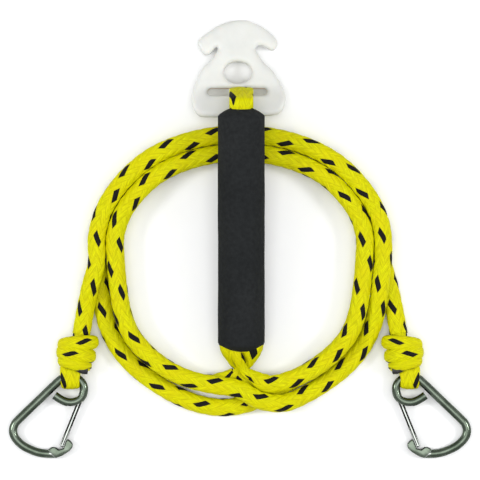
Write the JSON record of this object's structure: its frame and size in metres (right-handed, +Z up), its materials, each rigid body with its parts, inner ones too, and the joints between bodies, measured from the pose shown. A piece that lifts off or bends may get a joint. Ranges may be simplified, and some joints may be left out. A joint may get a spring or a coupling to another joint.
{
  "type": "boat tow harness",
  "caption": "Two-leg boat tow harness lying coiled: braided rope bridle, foam float over the middle, plastic tow hook and a sprung snap clip on each leg.",
  "frame": {"origin": "on the ground, in the middle of the footprint of the hook, float, knots and clips", "axes": "+Z up from the ground, +Y along the float towards the tow hook, +X to the right clip"},
  "size_m": [0.4614, 0.4378, 0.0765],
  "materials": {
    "rope": "hollow braided polyethylene rope, bright yellow with black tracer yarns, satin",
    "foam": "closed-cell foam, black, matte with a smooth skin",
    "hook_plastic": "moulded nylon, off-white, satin",
    "clip_steel": "polished stainless steel",
    "spring_steel": "drawn spring wire"
  },
  "bodies": {
    "harness": {"tow_line_left": "rope", "tow_line_right": "rope", "core_leg_upper": "rope", "core_leg_lower": "rope", "stopper_knot": "rope", "eye_band_left": "rope", "eye_band_right": "rope", "end_knot_left": "rope", "end_knot_right": "rope"},
    "float": {"foam_float": "foam"},
    "hook": {"tow_hook": "hook_plastic", "hook_band": "rope"},
    "clip_left": {"clip_frame_left": "clip_steel", "gate_rivet_left": "clip_steel", "gate_spring_left": "spring_steel"},
    "gate_left": {"clip_gate_left": "clip_steel"},
    "clip_right": {"clip_frame_right": "clip_steel", "gate_rivet_right": "clip_steel", "gate_spring_right": "spring_steel"},
    "gate_right": {"clip_gate_right": "clip_steel"}
  },
  "joints": [
    {"name": "float_spin", "type": "hinge", "parent": "harness", "child": "float", "pos_m": [0.0013, 0.00925, 0.03843], "axis": [0, 0.9914, 0.1306], "continuous": true},
    {"name": "hook_lift", "type": "hinge", "parent": "harness", "child": "hook", "pos_m": [0.0013, 0.131, 0.05446], "axis": [1, 0, 0], "range_deg": [0, 60]},
    {"name": "clip_lift_left", "type": "hinge", "parent": "harness", "child": "clip_left", "pos_m": [-0.1685, -0.1378, 0.0096], "axis": [-1, 0, 0], "range_deg": [0, 60]},
    {"name": "gate_open_left", "type": "hinge", "parent": "clip_left", "child": "gate_left", "pos_m": [-0.1574, -0.15546, 0.00843], "axis": [0, 0.0661, -0.9978], "range_deg": [0, 20], "stiffness_Nm_per_rad": 0.05},
    {"name": "clip_lift_right", "type": "hinge", "parent": "harness", "child": "clip_right", "pos_m": [0.1685, -0.1378, 0.0096], "axis": [-1, 0, 0], "range_deg": [0, 60]},
    {"name": "gate_open_right", "type": "hinge", "parent": "clip_right", "child": "gate_right", "pos_m": [0.1574, -0.15546, 0.00843], "axis": [0, -0.0661, 0.9978], "range_deg": [0, 20], "stiffness_Nm_per_rad": 0.05}
  ]
}
